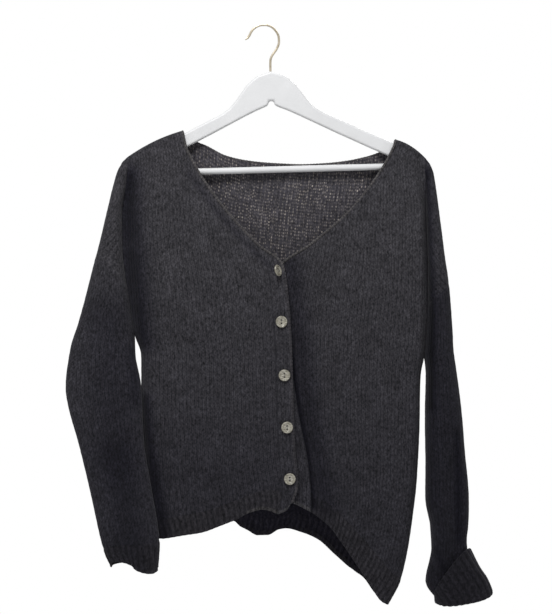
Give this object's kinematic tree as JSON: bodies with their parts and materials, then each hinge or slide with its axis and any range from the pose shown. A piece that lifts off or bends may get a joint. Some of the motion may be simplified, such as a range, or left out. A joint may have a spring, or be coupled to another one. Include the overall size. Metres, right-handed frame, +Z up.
{
  "type": "button cardigan on hanger",
  "caption": "Knitted V-neck button cardigan with dropped shoulders and ribbed edges, hanging on a wooden hanger with a wire hook.",
  "frame": {"origin": "underside of the hook's crown, where a rail holds the hanger, in the middle of the hanger's thickness", "axes": "+Z up, -Y out of the garment's front, +X towards the wearer's left sleeve; the cloth hangs down along -Z"},
  "size_m": [0.611, 0.0811, 0.8618],
  "materials": {
    "knit": "brushed charcoal stocking-stitch knit, matt",
    "ribbing": "charcoal ribbed knit, matt",
    "shell": "grey-beige mother-of-pearl, polished",
    "painted_wood": "white paint, satin",
    "wire": "brass-plated wire, bright"
  },
  "bodies": {
    "root": {"front_right": "knit", "front_left": "knit", "back": "knit", "sleeve_right": "knit", "sleeve_left": "knit", "rib_front_right": "ribbing", "rib_front_left": "ribbing", "rib_back": "ribbing", "cuff_right": "ribbing", "cuff_left": "ribbing", "band_right": "ribbing", "band_left": "ribbing", "button_1": "shell", "button_2": "shell", "button_3": "shell", "button_4": "shell", "button_5": "shell", "hanger_arms": "painted_wood", "hanger_bar": "painted_wood", "hanger_hook": "wire"}
  },
  "joints": []
}
